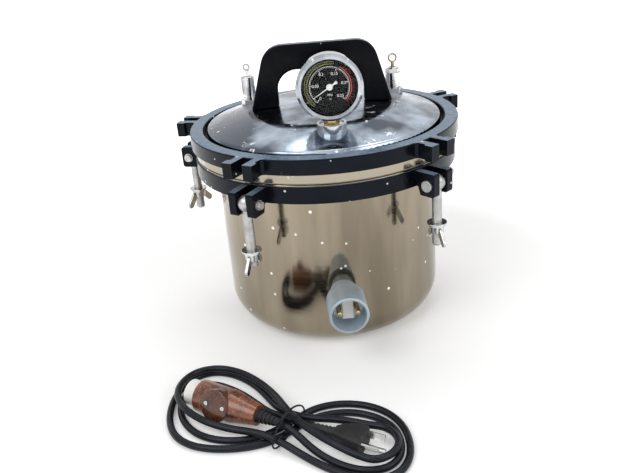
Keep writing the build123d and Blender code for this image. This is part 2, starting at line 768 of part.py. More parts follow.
def socket_shroud():
    """Cast neck and shroud round the heater's terminals."""
    start = shroud_start()
    end = start + shroud_length
    shroud = along_x(shroud_radius, start, end)
    rims = shroud.edges().filter_by(GeomType.CIRCLE)
    shroud = fillet(rims.sort_by(Axis.X)[0], 3.0)
    shroud = fillet(shroud.edges().filter_by(GeomType.CIRCLE).sort_by(Axis.X)[-1], 0.8)
    body = shroud + along_x(socket_neck_radius, pot_radius - 8, start + 1)
    body -= along_x(shroud_radius - shroud_wall, shroud_floor(), end + 1)
    body -= along_x(terminal_bore_radius, pot_radius - 20, end + 1)
    pot = Pos(0, 0, -socket_height) * rod(pot_radius + seat_clearance, -10, vessel_height)
    return on_socket(body - pot)


def socket_insulator():
    """White ceramic: a plate on the shroud's floor with a block between the contacts."""
    floor = shroud_floor() + seat_clearance
    plate = along_x(shroud_radius - shroud_wall - insulator_clearance, floor, floor + insulator_plate)
    block = Pos(floor + 1, 0, 0) * Box(
        insulator_plate - 1 + ceramic_block_length, ceramic_block_width, ceramic_block_height,
        align=(Align.MIN, Align.CENTER, Align.CENTER))
    block = fillet(block.edges().group_by(Axis.X)[-1], 1.5)
    body = plate + block
    for side in (-1, 1):
        body -= Pos(0, side * contact_spacing / 2, 0) * along_x(contact_radius + seat_clearance, floor - 5, floor + 60)
    return on_socket(body)


def socket_contacts():
    """Two round brass contacts through the ceramic."""
    floor = shroud_floor() + seat_clearance
    pins = []
    for side in (-1, 1):
        pin = along_x(contact_radius, floor + 0.3, floor + insulator_plate + contact_reach)
        pin = fillet(pin.edges().filter_by(GeomType.CIRCLE).sort_by(Axis.X)[-1], contact_radius * 0.6)
        pins.append(on_socket(Pos(0, side * contact_spacing / 2, 0) * pin))
    return Compound(pins)


# ---------------------------------------------------------------- inside the vessel
def heating_element():
    """Sheathed heater: an open loop over the floor with both legs out to the socket."""
    half = element_leg_spacing / 2
    start = math.degrees(math.asin(half / element_loop_radius))
    circle = Plane.XZ * Pos(element_loop_radius, element_height) * Circle(element_radius)
    loop = Rot(0, 0, start) * revolve(circle, Axis.Z, 360 - 2 * start)
    end = element_loop_radius * math.cos(math.radians(start))
    rise = pot_radius - pot_wall - element_wall_gap - element_radius
    element = loop
    for side in (-1, 1):
        path = FilletPolyline(
            (end, side * half, element_height), (end + 14, side * half, element_height),
            (rise, side * half, socket_height - 22), (rise, side * half, socket_height),
            (shroud_floor() - 0.5, side * half, socket_height), radius=7)
        element += sweep(Plane(origin=path @ 0, z_dir=path % 0) * Circle(element_radius), path)
        element += Pos(end, side * half, element_height) * Sphere(element_radius)
    return Rot(0, 0, socket_angle) * element


def steam_rack():
    """Perforated plate on three legs over the heater."""
    plate = rod(rack_radius, rack_height, rack_height + rack_thickness)
    holes = [
        Pos(rack_hole_pitch * (i + j / 2), rack_hole_pitch * j * math.sqrt(3) / 2, 0)
        for i in range(-4, 5) for j in range(-4, 5)
        if math.hypot(i + j / 2, j * math.sqrt(3) / 2) * rack_hole_pitch < rack_leg_circle - 2 * rack_hole_radius]
    for place in holes:
        plate -= place * rod(rack_hole_radius, rack_height - 1, rack_height + rack_thickness + 1)
    for k in range(3):
        angle = math.radians(socket_angle + 60 + 120 * k)
        place = Pos(rack_leg_circle * math.cos(angle), rack_leg_circle * math.sin(angle), 0)
        plate += place * rod(rack_leg_radius, pot_wall + rest_gap, rack_height + 0.5)
    return plate


def inner_drum():
    """Loose aluminium pail that stands on the rack, with a rolled lip."""
    floor = rack_height + rack_thickness + rest_gap
    outside = rod(drum_radius, floor, floor + drum_height)
    outside = fillet(outside.edges().group_by(Axis.Z)[0], drum_corner_radius)
    inside = rod(drum_radius - drum_wall, floor + drum_wall, floor + drum_height + 1)
    inside = fillet(inside.edges().group_by(Axis.Z)[0], drum_corner_radius - drum_wall)
    lip = tube(drum_radius + drum_lip, drum_radius - 0.2, floor + drum_height - 3, floor + drum_height)
    rolled = lip.edges().filter_by(GeomType.CIRCLE).filter_by(lambda e: e.radius > drum_radius + 1)
    lip = fillet(rolled, 1.2)
    return outside - inside + lip


# ---------------------------------------------------------------- mains lead
def across(x):
    """A plane across the X axis, with its own X along +Y."""
    return Plane(origin=(x, 0, 0), x_dir=(0, 1, 0), z_dir=(1, 0, 0))


def lead_place(face, angle, height):
    """Frame at a piece's front face: local +X runs back along the piece to its cord."""
    return Pos(face[0], face[1], height) * Rot(0, 0, angle)


def on_connector(shape):
    """Place a piece of the appliance connector; it lies on its barrel."""
    return lead_place(connector_face, connector_angle, connector_radius) * shape


def on_plug(shape):
    """Place a piece of the mains plug; local +X runs forward to the blades."""
    return lead_place(plug_face, plug_angle, plug_thickness / 2) * shape


def connector_shell():
    """Moulded body: a round barrel that narrows and flattens to the cord."""
    front = across(connector_barrel)
    back = across(connector_length)
    barrel = along_x(connector_radius, 0, connector_barrel)
    barrel = fillet(barrel.edges().filter_by(GeomType.CIRCLE).sort_by(Axis.X)[0], 1.5)
    neck = loft([front * Circle(connector_radius), back * Circle(connector_tail_radius)])
    shell = barrel + neck
    return on_connector(shell - along_x(sleeve_radius + seat_clearance, -5, connector_barrel - 6))


def connector_sleeve():
    """White ceramic sleeve that stands out of the shell, with two contact holes."""
    sleeve = along_x(sleeve_radius, -sleeve_proud, connector_barrel - 6.1)
    sleeve = fillet(sleeve.edges().filter_by(GeomType.CIRCLE).sort_by(Axis.X)[0], 1.0)
    for side in (-1, 1):
        sleeve -= Pos(0, side * contact_spacing / 2 * 0.8, 0) * along_x(
            contact_radius + 0.4, -sleeve_proud - 1, connector_barrel - 10)
    return on_connector(sleeve)


def relief(length, radius):
    """Tapered strain relief along +X with ribs."""
    rib = length / 6
    outline = [(0, 0), (0, radius)]
    for k in range(5):
        outer = radius - (radius - cord_diameter / 2 - 0.8) * (k + 1) / 5
        outline += [(rib * (k + 0.6), outer + 0.5), (rib * (k + 0.6), outer - 0.4), (rib * (k + 1), outer - 0.4)]
    outline += [(length, cord_diameter / 2 + 0.4), (length, 0)]
    face = make_face(Polyline(*outline, close=True))
    return revolve(face, Axis.X)


def connector_relief():
    """Ribbed strain relief behind the connector."""
    return on_connector(Pos(connector_length + 0.02, 0, 0) * relief(relief_length, relief_radius))


def plug_body():
    """Moulded plug body, wide at the blades and narrow at the cord."""
    wide = across(-2) * RectangleRounded(plug_width, plug_thickness, 4)
    middle = across(-plug_length * 0.55) * RectangleRounded(plug_width * 0.86, plug_thickness * 0.92, 4)
    narrow = across(-plug_length) * RectangleRounded(plug_tail_width, plug_relief_radius * 2 + 1, 3.5)
    body = loft([narrow, middle, wide])
    flange = Pos(-1, 0, 0) * Box(2, plug_width, plug_thickness)
    flange = fillet(flange.edges().filter_by(Axis.X), 4)
    body += flange
    for place, length, turn in blade_places():
        body -= place * Box(12, blade_thickness + 0.1, blade_width + 0.1).moved(Rot(turn, 0, 0))
    return on_plug(body)


def blade_places():
    """Two leaning blades and a straight earth blade: place, length and turn about the plug's axis."""
    return [
        (Pos(0, -blade_spacing, 2.6) * Rot(30, 0, 0), blade_length, 0),
        (Pos(0, blade_spacing, 2.6) * Rot(-30, 0, 0), blade_length, 0),
        (Pos(0, 0, -5.2) * Rot(0, 0, 0), earth_blade_length, 90)]


def plug_blades():
    """Flat blades out of the plug's face."""
    blades = []
    for place, length, turn in blade_places():
        blade = Box(length + 5, blade_thickness, blade_width, align=(Align.MIN, Align.CENTER, Align.CENTER))
        blade = Pos(-5, 0, 0) * Rot(turn, 0, 0) * blade
        blades.append(on_plug(place * blade))
    return Compound(blades)


def plug_relief():
    """Ribbed strain relief behind the plug."""
    return on_plug(Pos(-plug_length - 0.02, 0, 0) * Rot(0, 0, 180) * relief(plug_relief_length, plug_relief_radius))


def hank_tie():
    """Flat tie pulled round the waist of the hank."""
    inner_height = hank_height - tie_thickness + 0.3
    outer = RectangleRounded(waist_width + 2 * tie_thickness, inner_height + 2 * tie_thickness, 2.4)
    inner = RectangleRounded(waist_width, inner_height, 0.8)
    loop = across(-tie_width / 2) * (outer - inner)
    band = extrude(loop, tie_width, dir=(1, 0, 0))
    return tie_frame() * Pos(0, 0, inner_height / 2 + tie_thickness) * band


def tie_frame():
    """Frame at the waist, with +X along the hank."""
    return Pos(tie_middle[0], tie_middle[1], 0) * Rot(0, 0, tie_angle)


def lead_hank():
    """Outer shape of the tied hank, open inside both loops and round the plug and connector."""
    outline = make_face(Spline(*hank_outline, periodic=True))
    hank = extrude(outline, hank_height)
    for x, y, turn, length, width in hank_windows:
        hank -= Pos(x, y, 0) * Rot(0, 0, turn) * extrude(SlotOverall(length, width), hank_height)
    room = 2 * lead_clearance
    connector = on_connector_floor() * block_along_x(
        -sleeve_proud - 2, connector_length, 2 * connector_radius + room)
    connector += on_connector_floor() * block_along_x(
        0, connector_length + relief_length + seat_clearance, 2 * relief_radius + room)
    plug = on_plug_floor() * block_along_x(-plug_length, earth_blade_length + 2, plug_width + room)
    plug += on_plug_floor() * block_along_x(
        -plug_length - plug_relief_length - seat_clearance, 0, 2 * plug_relief_radius + room)
    groove = tie_frame() * Box(
        tie_width + 0.2, 3 * waist_width, 2 * (tie_thickness + 0.1)) + tie_frame() * (
        Box(tie_width + 0.2, 3 * waist_width, 4 * hank_height) - Box(2 * tie_width, waist_width - 1.0, 5 * hank_height))
    return hank - connector - plug - groove


def block_along_x(start, end, width):
    """A tall block from start to end along X, centred on the axis."""
    return Pos(start, 0, 0) * Box(end - start, width, 4 * hank_height, align=(Align.MIN, Align.CENTER, Align.CENTER))


def on_connector_floor():
    """The connector's frame at floor height."""
    return lead_place(connector_face, connector_angle, 0)


def on_plug_floor():
    """The plug's frame at floor height."""
    return lead_place(plug_face, plug_angle, 0)


# ---------------------------------------------------------------- write every node
pieces = {
    "vessel_pot": vessel_pot(),
    "clamp_ring_lower": clamp_ring_lower(),
    "clevis_pins": clevis_pins(),
    "socket_shroud": socket_shroud(),
    "socket_insulator": socket_insulator(),
    "socket_contacts": socket_contacts(),
    "heating_element": heating_element(),
    "steam_rack": steam_rack(),
    "inner_drum": inner_drum(),
    "lid_dome": lid_dome(),
    "lid_ring": lid_ring(),
    "lid_gasket": lid_gasket(),
    "lid_under_nuts": lid_under_nuts(),
    "handle": handle(),
    "handle_screws": handle_screws(),
    "gauge_seat_nut": gauge_seat_nut(),
    "gauge_stem": gauge_stem(),
    "gauge_case": gauge_case(),
    "gauge_bezel": gauge_bezel(),
    "gauge_dial": gauge_dial(),
    "gauge_pointer": gauge_pointer(),
    "gauge_lens": gauge_lens(),
    "vent_body": vent_body(),
    "vent_pin": vent_pin(),
    "vent_toggle": vent_toggle(),
    "safety_body": safety_body(),
    "safety_stem": safety_stem(),
    "connector_shell": connector_shell(),
    "connector_sleeve": connector_sleeve(),
    "connector_relief": connector_relief(),
    "plug_body": plug_body(),
    "plug_blades": plug_blades(),
    "plug_relief": plug_relief(),
    "lead_hank": lead_hank(),
    "hank_tie": hank_tie(),
}
bolt = swing_bolt()
for number, angle in enumerate(lug_angles, 1):
    distance = washer_top_distance + extra_nut_drop[number - 1]
    pieces[f"swing_bolt_{number}"] = at_angle(bolt, angle)
    pieces[f"washer_{number}"] = at_angle(washer(distance), angle)
    pieces[f"wing_nut_{number}"] = at_angle(wing_nut(distance, nut_turn_angles[number - 1]), angle)

for name, shape in pieces.items():
    write(name, shape)
print(len(pieces), "nodes")
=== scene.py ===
import math
import bpy
import bmesh
from mathutils import Matrix, Vector


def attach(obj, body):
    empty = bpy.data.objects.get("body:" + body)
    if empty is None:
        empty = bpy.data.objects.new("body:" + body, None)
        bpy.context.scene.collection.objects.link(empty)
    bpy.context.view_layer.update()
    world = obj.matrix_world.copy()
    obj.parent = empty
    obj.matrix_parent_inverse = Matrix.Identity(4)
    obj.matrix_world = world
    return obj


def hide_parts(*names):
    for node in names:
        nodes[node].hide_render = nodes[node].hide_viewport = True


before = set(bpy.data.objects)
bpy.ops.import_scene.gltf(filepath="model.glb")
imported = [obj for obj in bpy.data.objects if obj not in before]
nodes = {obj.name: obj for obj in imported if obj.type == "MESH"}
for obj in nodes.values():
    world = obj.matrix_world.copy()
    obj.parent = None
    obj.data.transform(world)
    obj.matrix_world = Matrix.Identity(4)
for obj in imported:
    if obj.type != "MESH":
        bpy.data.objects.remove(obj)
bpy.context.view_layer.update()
scene = bpy.context.scene
boltCount = 5
boltNumbers = range(1, boltCount + 1)
print("frame loaded:", len(nodes), "nodes")


def newObject(name, data):
    item = bpy.data.objects.new(name, data)
    scene.collection.objects.link(item)
    return item


def evaluatedMesh(item):
    bpy.context.view_layer.update()
    return bpy.data.meshes.new_from_object(item.evaluated_get(bpy.context.evaluated_depsgraph_get()))


# camera
cameraLook = {
    "place": (0.0, -0.79194, 0.44497), "pitch": 24.659, "yaw": -1.422, "roll": -4.704,
    "lens": 40.417, "sensor": 36.0}


def placeCamera(look):
    pitch, yaw, roll = (math.radians(look[k]) for k in ("pitch", "yaw", "roll"))
    forward = Vector((math.sin(yaw) * math.cos(pitch), math.cos(yaw) * math.cos(pitch), -math.sin(pitch)))
    level = Vector((math.cos(yaw), -math.sin(yaw), 0.0))
    lift = level.cross(forward)
    right = math.cos(roll) * level + math.sin(roll) * lift
    up = -math.sin(roll) * level + math.cos(roll) * lift
    data = bpy.data.cameras.new("benchCamera")
    data.sensor_fit = "HORIZONTAL"
    data.sensor_width = look["sensor"]
    data.lens = look["lens"]
    camera = newObject("benchCamera", data)
    turn = Matrix((right, up, -forward)).transposed().to_4x4()
    camera.matrix_world = Matrix.Translation(look["place"]) @ turn
    scene.camera = camera


placeCamera(cameraLook)

# mains lead, folded into a loose figure of eight; the points are in millimetres
lead = {
    "diameter": 0.007,
    "route": [
        (-59, -267, 16), (-51, -272, 14), (-42, -281, 10.5), (-32, -292, 7), (-20, -303, 4.5),
        (-3, -315, 3.5), (16, -322, 3.5), (35, -320, 3.5), (47, -307, 3.5), (50, -288, 3.5),
        (46, -269, 3.5), (35, -255, 3.5), (18, -245, 3.5), (0, -241, 3.5), (-19, -243, 3.5),
        (-36, -251, 3.5), (-50, -263, 3.5), (-66, -275, 3.5), (-84, -281, 3.5), (-104, -283, 3.5),
        (-126, -281, 3.5), (-146, -274, 3.5), (-162, -260, 3.5), (-171, -238, 3.5), (-173, -212, 3.5),
        (-169, -189, 3.5), (-157, -169, 3.5), (-138, -160, 3.5), (-118, -165, 3.5), (-100, -178, 3.5),
        (-85, -195, 3.5), (-74, -213, 3.5), (-66, -229, 6), (-57, -242, 10), (-44, -251, 10.5),
        (-28, -256, 10.5), (-10, -259, 10.5), (8, -263, 9.5), (22, -268.5, 9), (35, -272, 9),
        (44, -281, 9.3), (47.5, -293, 9.8), (44, -305, 10.4), (35, -314, 11), (22, -318, 11.5),
        (6, -309, 12), (-10, -298, 14), (-26, -285, 16), (-40, -271, 17.5), (-50, -257, 18),
        (-57, -243, 17), (-64, -226, 14), (-74, -207, 11), (-88, -189, 10.5), (-106, -173, 10.5),
        (-128, -163, 10.5), (-149, -165, 10.5), (-162, -178, 11.5), (-168, -199, 13), (-163, -221, 14),
        (-149, -241, 14.5), (-130, -255, 13), (-108, -264, 11), (-88, -269, 10.5), (-72, -276, 10.5),
        (-56, -286, 8), (-40, -298, 4.5), (-25, -310, 3.5), (-9, -321, 3.5), (8, -330, 3.5),
        (27, -333, 3.5), (44, -327, 3.5), (55, -310, 3.5), (58, -288, 3.5), (54, -265, 3.5),
        (43, -247, 3.5), (27, -235, 3.5), (9, -229, 3.5), (-10, -228, 3.5), (-29, -233, 3.5),
        (-45, -245, 3.5), (-60, -258, 3.5), (-75, -267, 3.5), (-91, -272, 3.5), (-108, -272, 3.5),
        (-125, -268, 3.5), (-141, -259, 3.5), (-154, -244, 3.5), (-162, -225, 3.5), (-163, -207, 3.5),
        (-158, -192, 3.5), (-147, -182.5, 3.5), (-132, -182, 3.5), (-117, -190.5, 3.5), (-101, -203, 3.5),
        (-87, -219, 4), (-74, -236, 6), (-60, -249, 9.5), (-46, -258.5, 10.5), (-31, -267, 10),
    ],
}

cordLook = {"order": 3, "steps": 8, "roundness": 5, "unitsPerMetre": 1000}


def nurbsCord(name, points, radius):
    data = bpy.data.curves.new(name, "CURVE")
    data.dimensions = "3D"
    spline = data.splines.new("NURBS")
    spline.points.add(len(points) - 1)
    for point, place in zip(spline.points, points):
        point.co = (*(along / cordLook["unitsPerMetre"] for along in place), 1.0)
    spline.order_u = cordLook["order"]
    spline.use_endpoint_u = True
    spline.resolution_u = cordLook["steps"]
    data.bevel_depth = radius
    data.bevel_resolution = cordLook["roundness"]
    data.use_fill_caps = True
    return newObject(name, data)


leadCord = nurbsCord("leadCord", lead["route"], lead["diameter"] / 2)

# thin wire twisted round the waist of the lead
tieWire = {
    "thickness": 0.0018,
    "route": [
        (-72, -268, 22.5), (-67, -273, 23.5), (-63, -276, 23), (-60, -274, 23.5), (-57, -269, 24),
        (-53, -262, 24.5), (-47, -254, 24), (-42, -248, 21), (-38.5, -243, 15), (-38, -242, 8),
        (-39, -243, 2.2), (-44, -251, 1.2), (-52, -264, 1.2), (-59, -276, 1.2), (-64, -285, 2.2),
        (-67, -289, 7), (-66, -287, 13), (-63, -281, 18.5), (-59, -274, 22.5), (-55, -268, 24.5),
        (-52, -265, 26), (-48, -266, 26.5), (-45, -270, 25),
    ],
}
leadTie = nurbsCord("leadTie", tieWire["route"], tieWire["thickness"] / 2)
print("lead and tie routed")


# finishes, all in object coordinates; spans are the noise values a change starts and ends at
evenly = (1, 1, 1)
blends = {
    "spread": (0.35, 0.68), "broadDetail": 3.0, "fineDetail": (5.0, 0.6), "roughSpan": (0.3, 0.72),
    "rimFade": 0.003, "upward": (0.8, 0.97), "sheenDustSpan": (0.25, 0.6, 0.55, 1.0),
    "wearDetail": (6.0, 0.65), "wearFade": 0.04, "speckRough": 0.45, "speckEdge": 0.7}


def newFinish(name):
    material = bpy.data.materials.new(name)
    material.use_nodes = True
    return material, material.node_tree, material.node_tree.nodes["Principled BSDF"]


def objectPlace(tree, stretch=evenly):
    coords = tree.nodes.new("ShaderNodeTexCoord")
    mapping = tree.nodes.new("ShaderNodeMapping")
    mapping.inputs["Scale"].default_value = stretch
    tree.links.new(coords.outputs["Object"], mapping.inputs["Vector"])
    return mapping.outputs["Vector"]


def noise(tree, place, scale, detail=3.0, rough=0.55):
    node = tree.nodes.new("ShaderNodeTexNoise")
    node.inputs["Scale"].default_value = scale
    node.inputs["Detail"].default_value = detail
    node.inputs["Roughness"].default_value = rough
    tree.links.new(place, node.inputs["Vector"])
    return node.outputs["Fac"]


def remap(tree, value, low, high, toLow=0.0, toHigh=1.0):
    node = tree.nodes.new("ShaderNodeMapRange")
    node.inputs["From Min"].default_value = low
    node.inputs["From Max"].default_value = high
    node.inputs["To Min"].default_value = toLow
    node.inputs["To Max"].default_value = toHigh
    tree.links.new(value, node.inputs["Value"])
    return node.outputs["Result"]


def mathNode(tree, operation, first, second):
    node = tree.nodes.new("ShaderNodeMath")
    node.operation = operation
    for socket, value in zip(node.inputs, (first, second)):
        if isinstance(value, (int, float)):
            socket.default_value = value
        else:
            tree.links.new(value, socket)
    return node.outputs[0]


def mixColour(tree, share, first, second):
    node = tree.nodes.new("ShaderNodeMix")
    node.data_type = "RGBA"
    tree.links.new(share, node.inputs["Factor"])
    for socket, colour in ((node.inputs[6], first), (node.inputs[7], second)):
        if isinstance(colour, tuple):
            socket.default_value = (*colour, 1.0)
        else:
            tree.links.new(colour, socket)
    return node.outputs[2]


def mixValue(tree, share, first, second):
    node = tree.nodes.new("ShaderNodeMix")
    tree.links.new(share, node.inputs["Factor"])
    for socket, value in ((node.inputs[2], first), (node.inputs[3], second)):
        if isinstance(value, float):
            socket.default_value = value
        else:
            tree.links.new(value, socket)
    return node.outputs[0]


def specks(tree, place, scale, size):
    node = tree.nodes.new("ShaderNodeTexVoronoi")
    node.inputs["Scale"].default_value = scale
    tree.links.new(place, node.inputs["Vector"])
    return remap(tree, node.outputs["Distance"], size * scale, size * scale * blends["speckEdge"])


def addBump(tree, shader, height, strength, distance):
    node = tree.nodes.new("ShaderNodeBump")
    node.inputs["Strength"].default_value = strength
    node.inputs["Distance"].default_value = distance
    tree.links.new(height, node.inputs["Height"])
    tree.links.new(node.outputs["Normal"], shader.inputs["Normal"])


def wornFinish(name, look):
    material, tree, shader = newFinish(name)
    plain = objectPlace(tree)
    # for potSteel the broad noise is stretched upright, so its light and dark streaks are painted reflections
    # of vertical edges
    broad = noise(tree, objectPlace(tree, look.get("reflectionStreakStretch", evenly)), look["broad"], blends["broadDetail"])
    fine = noise(tree, objectPlace(tree, look.get("stretch", evenly)), look["fine"], *blends["fineDetail"])
    shaded = remap(tree, broad, *look.get("spread", blends["spread"]))
    colour = mixColour(tree, shaded, look["colour"], look["shade"])
    rough = remap(tree, fine, *blends["roughSpan"], *look["rough"])
    # below the rim top the colour turns to the rim colour: a painted warm reflection on the side of the lid
    if "rim" in look:
        height = tree.nodes.new("ShaderNodeSeparateXYZ")
        tree.links.new(plain, height.inputs[0])
        rimTop = look["rim"]["top"]
        below = remap(tree, height.outputs["Z"], rimTop, rimTop - blends["rimFade"])
        colour = mixColour(tree, below, colour, look["rim"]["colour"])
    # film: upward faces take the film colour, mottled by the fine noise: a painted sheen of sky light on top
    # faces, partly dust
    if "film" in look:
        surface = tree.nodes.new("ShaderNodeNewGeometry")
        facing = tree.nodes.new("ShaderNodeSeparateXYZ")
        tree.links.new(surface.outputs["Normal"], facing.inputs[0])
        upward = remap(tree, facing.outputs["Z"], *blends["upward"])
        sheenAndDust = mathNode(tree, "MULTIPLY", upward, remap(tree, fine, *blends["sheenDustSpan"]))
        colour = mixColour(tree, sheenAndDust, colour, look["film"])
    if "wear" in look:
        wearLook = look["wear"]
        patches = noise(tree, plain, wearLook["scale"], *blends["wearDetail"])
        rubbed = remap(tree, patches, wearLook["from"], wearLook["from"] + blends["wearFade"])
        colour = mixColour(tree, rubbed, colour, wearLook["colour"])
        rough = mixValue(tree, rubbed, rough, wearLook["rough"])
    if "specks" in look:
        dots = specks(tree, plain, look["specks"]["scale"], look["specks"]["size"])
        colour = mixColour(tree, dots, colour, look["specks"]["colour"])
        rough = mixValue(tree, dots, rough, blends["speckRough"])
    tree.links.new(colour, shader.inputs["Base Color"])
    tree.links.new(rough, shader.inputs["Roughness"])
    addBump(tree, shader, fine, *look["bump"])
    for socket, value in look.get("shader", {}).items():
        shader.inputs[socket].default_value = value
    return material


whiteFleck = (0.92, 0.92, 0.9)
finishLooks = {
    # potSteel: the warm tone is a painted warm reflection, and the upright light and dark streaks are painted
    # reflections of vertical edges; the wear patches and white specks are real marks
    "potSteel": {
        "colour": (0.34, 0.292, 0.218), "shade": (0.20, 0.168, 0.124), "broad": 22.0, "reflectionStreakStretch": (1, 1, 0.16),
        "stretch": (3, 3, 60), "fine": 9.0, "rough": (0.07, 0.17), "bump": (0.05, 0.0004),
        "shader": {"Metallic": 1.0},
        "wear": {"scale": 42.0, "from": 0.66, "colour": (0.27, 0.225, 0.165), "rough": 0.28},
        "specks": {"scale": 50.0, "size": 0.0019, "colour": whiteFleck}},
    # lidSteel: the bluish tone is a painted sky reflection and the broad dark mottle a painted reflection of
    # dark surroundings; the warm rim colour is a painted warm reflection on the lid's side; the pale patches
    # are real scratches and the specks real flecks
    "lidSteel": {
        "colour": (0.46, 0.53, 0.62), "shade": (0.085, 0.10, 0.13), "broad": 16.0, "spread": (0.36, 0.56),
        "fine": 130.0, "rough": (0.06, 0.24), "bump": (0.08, 0.0004),
        "shader": {"Metallic": 1.0}, "rim": {"top": 0.2160, "colour": (0.30, 0.265, 0.205)},
        "wear": {"scale": 75.0, "from": 0.63, "colour": (0.66, 0.70, 0.76), "rough": 0.4},
        "specks": {"scale": 46.0, "size": 0.0017, "colour": whiteFleck}},
    # ringEnamel: the bluish film on upward faces and the bluish specular tint are painted sky reflection,
    # mottled like dust; the chips and specks are real wear
    "ringEnamel": {
        "colour": (0.003, 0.0035, 0.006), "shade": (0.007, 0.008, 0.013), "broad": 26.0, "fine": 170.0,
        "rough": (0.14, 0.3), "bump": (0.12, 0.0006), "film": (0.165, 0.23, 0.32),
        "shader": {"Specular IOR Level": 0.12, "Specular Tint": (0.72, 0.86, 1.0, 1.0)},
        "wear": {"scale": 210.0, "from": 0.74, "colour": (0.36, 0.36, 0.36), "rough": 0.45},
        "specks": {"scale": 55.0, "size": 0.0014, "colour": whiteFleck}},
    # handleBlack: the pale film on upward faces is a painted sheen, partly dust; the rubbed patches and
    # specks are real wear
    "handleBlack": {
        "colour": (0.002, 0.0022, 0.0035), "shade": (0.005, 0.0055, 0.008), "broad": 22.0, "fine": 240.0,
        "rough": (0.2, 0.38), "bump": (0.08, 0.0005), "film": (0.24, 0.26, 0.29),
        "shader": {"Specular IOR Level": 0.08},
        "wear": {"scale": 160.0, "from": 0.76, "colour": (0.30, 0.29, 0.28), "rough": 0.5},
        "specks": {"scale": 44.0, "size": 0.0014, "colour": whiteFleck}},
    "zincRod": {
        "colour": (0.50, 0.50, 0.49), "shade": (0.36, 0.36, 0.36), "broad": 60.0, "fine": 420.0,
        "rough": (0.3, 0.5), "bump": (0.2, 0.0004), "shader": {"Metallic": 1.0}},
    "zincCasting": {
        "colour": (0.50, 0.60, 0.68), "shade": (0.40, 0.49, 0.56), "broad": 40.0, "fine": 380.0,
        "rough": (0.36, 0.56), "bump": (0.25, 0.0005), "shader": {"Metallic": 0.6},
        "wear": {"scale": 150.0, "from": 0.72, "colour": (0.26, 0.27, 0.28), "rough": 0.6}},
    "nickelBright": {
        "colour": (0.64, 0.64, 0.63), "shade": (0.42, 0.42, 0.42), "broad": 90.0, "fine": 500.0,
        "rough": (0.1, 0.24), "bump": (0.1, 0.0003), "shader": {"Metallic": 1.0}},
    "chromeTrim": {
        "colour": (0.52, 0.54, 0.57), "shade": (0.30, 0.32, 0.35), "broad": 55.0, "fine": 600.0,
        "rough": (0.05, 0.13), "bump": (0.04, 0.0003), "shader": {"Metallic": 1.0}},
    "wornBrass": {
        "colour": (0.70, 0.54, 0.27), "shade": (0.48, 0.35, 0.17), "broad": 120.0, "fine": 500.0,
        "rough": (0.22, 0.42), "bump": (0.12, 0.0003), "shader": {"Metallic": 1.0}},
    "agedBrass": {
        "colour": (0.44, 0.39, 0.30), "shade": (0.25, 0.21, 0.15), "broad": 140.0, "fine": 500.0,
        "rough": (0.25, 0.45), "bump": (0.12, 0.0003), "shader": {"Metallic": 1.0}},
    "dialBlack": {
        "colour": (0.003, 0.003, 0.0035), "shade": (0.006, 0.006, 0.007), "broad": 80.0, "fine": 900.0,
        "rough": (0.5, 0.65), "bump": (0.03, 0.0002), "shader": {"Specular IOR Level": 0.15}},
    "printWhite": {
        "colour": (0.86, 0.86, 0.84), "shade": (0.78, 0.78, 0.76), "broad": 200.0, "fine": 900.0,
        "rough": (0.4, 0.55), "bump": (0.03, 0.0002)},
    "printGreen": {
        "colour": (0.46, 0.46, 0.17), "shade": (0.36, 0.37, 0.13), "broad": 200.0, "fine": 900.0,
        "rough": (0.4, 0.55), "bump": (0.03, 0.0002)},
    "printRed": {
        "colour": (0.60, 0.06, 0.045), "shade": (0.48, 0.05, 0.04), "broad": 200.0, "fine": 900.0,
        "rough": (0.4, 0.55), "bump": (0.03, 0.0002)},
    "glazedWhite": {
        "colour": (0.93, 0.92, 0.89), "shade": (0.86, 0.85, 0.80), "broad": 90.0, "fine": 300.0,
        "rough": (0.14, 0.3), "bump": (0.06, 0.0004),
        "shader": {"Coat Weight": 0.4, "Coat Roughness": 0.08}},
    "gasketGrey": {
        "colour": (0.52, 0.50, 0.47), "shade": (0.44, 0.42, 0.39), "broad": 60.0, "fine": 500.0,
        "rough": (0.6, 0.8), "bump": (0.15, 0.0004)},
    # cordBlack: the bluish specular tint is a painted sky reflection
    "cordBlack": {
        "colour": (0.008, 0.008, 0.010), "shade": (0.018, 0.018, 0.022), "broad": 45.0, "fine": 420.0,
        "rough": (0.22, 0.36), "bump": (0.12, 0.0003),
        "shader": {"Specular IOR Level": 0.22, "Specular Tint": (0.76, 0.86, 1.0, 1.0)}},
    "plugBlack": {
        "colour": (0.012, 0.012, 0.014), "shade": (0.024, 0.024, 0.027), "broad": 70.0, "fine": 600.0,
        "rough": (0.42, 0.6), "bump": (0.2, 0.0003), "shader": {"Specular IOR Level": 0.3}},
    "elementSteel": {
        "colour": (0.36, 0.33, 0.30), "shade": (0.22, 0.19, 0.20), "broad": 50.0, "fine": 400.0,
        "rough": (0.32, 0.5), "bump": (0.12, 0.0003), "shader": {"Metallic": 1.0}},
    "trayAluminium": {
        "colour": (0.74, 0.74, 0.75), "shade": (0.64, 0.64, 0.66), "broad": 30.0, "stretch": (1, 1, 12),
        "fine": 160.0, "rough": (0.3, 0.46), "bump": (0.1, 0.0003), "shader": {"Metallic": 1.0}},
}
finishes = {name: wornFinish(name, look) for name, look in finishLooks.items()}

bakeliteLook = {
    "dark": (0.075, 0.020, 0.010), "mid": (0.26, 0.080, 0.035), "pale": (0.46, 0.19, 0.10),
    "mottle": (95.0, 5.0, 0.62), "mottleSpan": (0.36, 0.56),
    "grain": (420.0, 3.0, 0.6), "grainSpan": (0.58, 0.7),
    "rough": (0.3, 0.7, 0.18, 0.34), "bump": (0.1, 0.0003), "coverDepth": 0.45,
    "shader": {"Coat Weight": 0.3, "Coat Roughness": 0.12}}


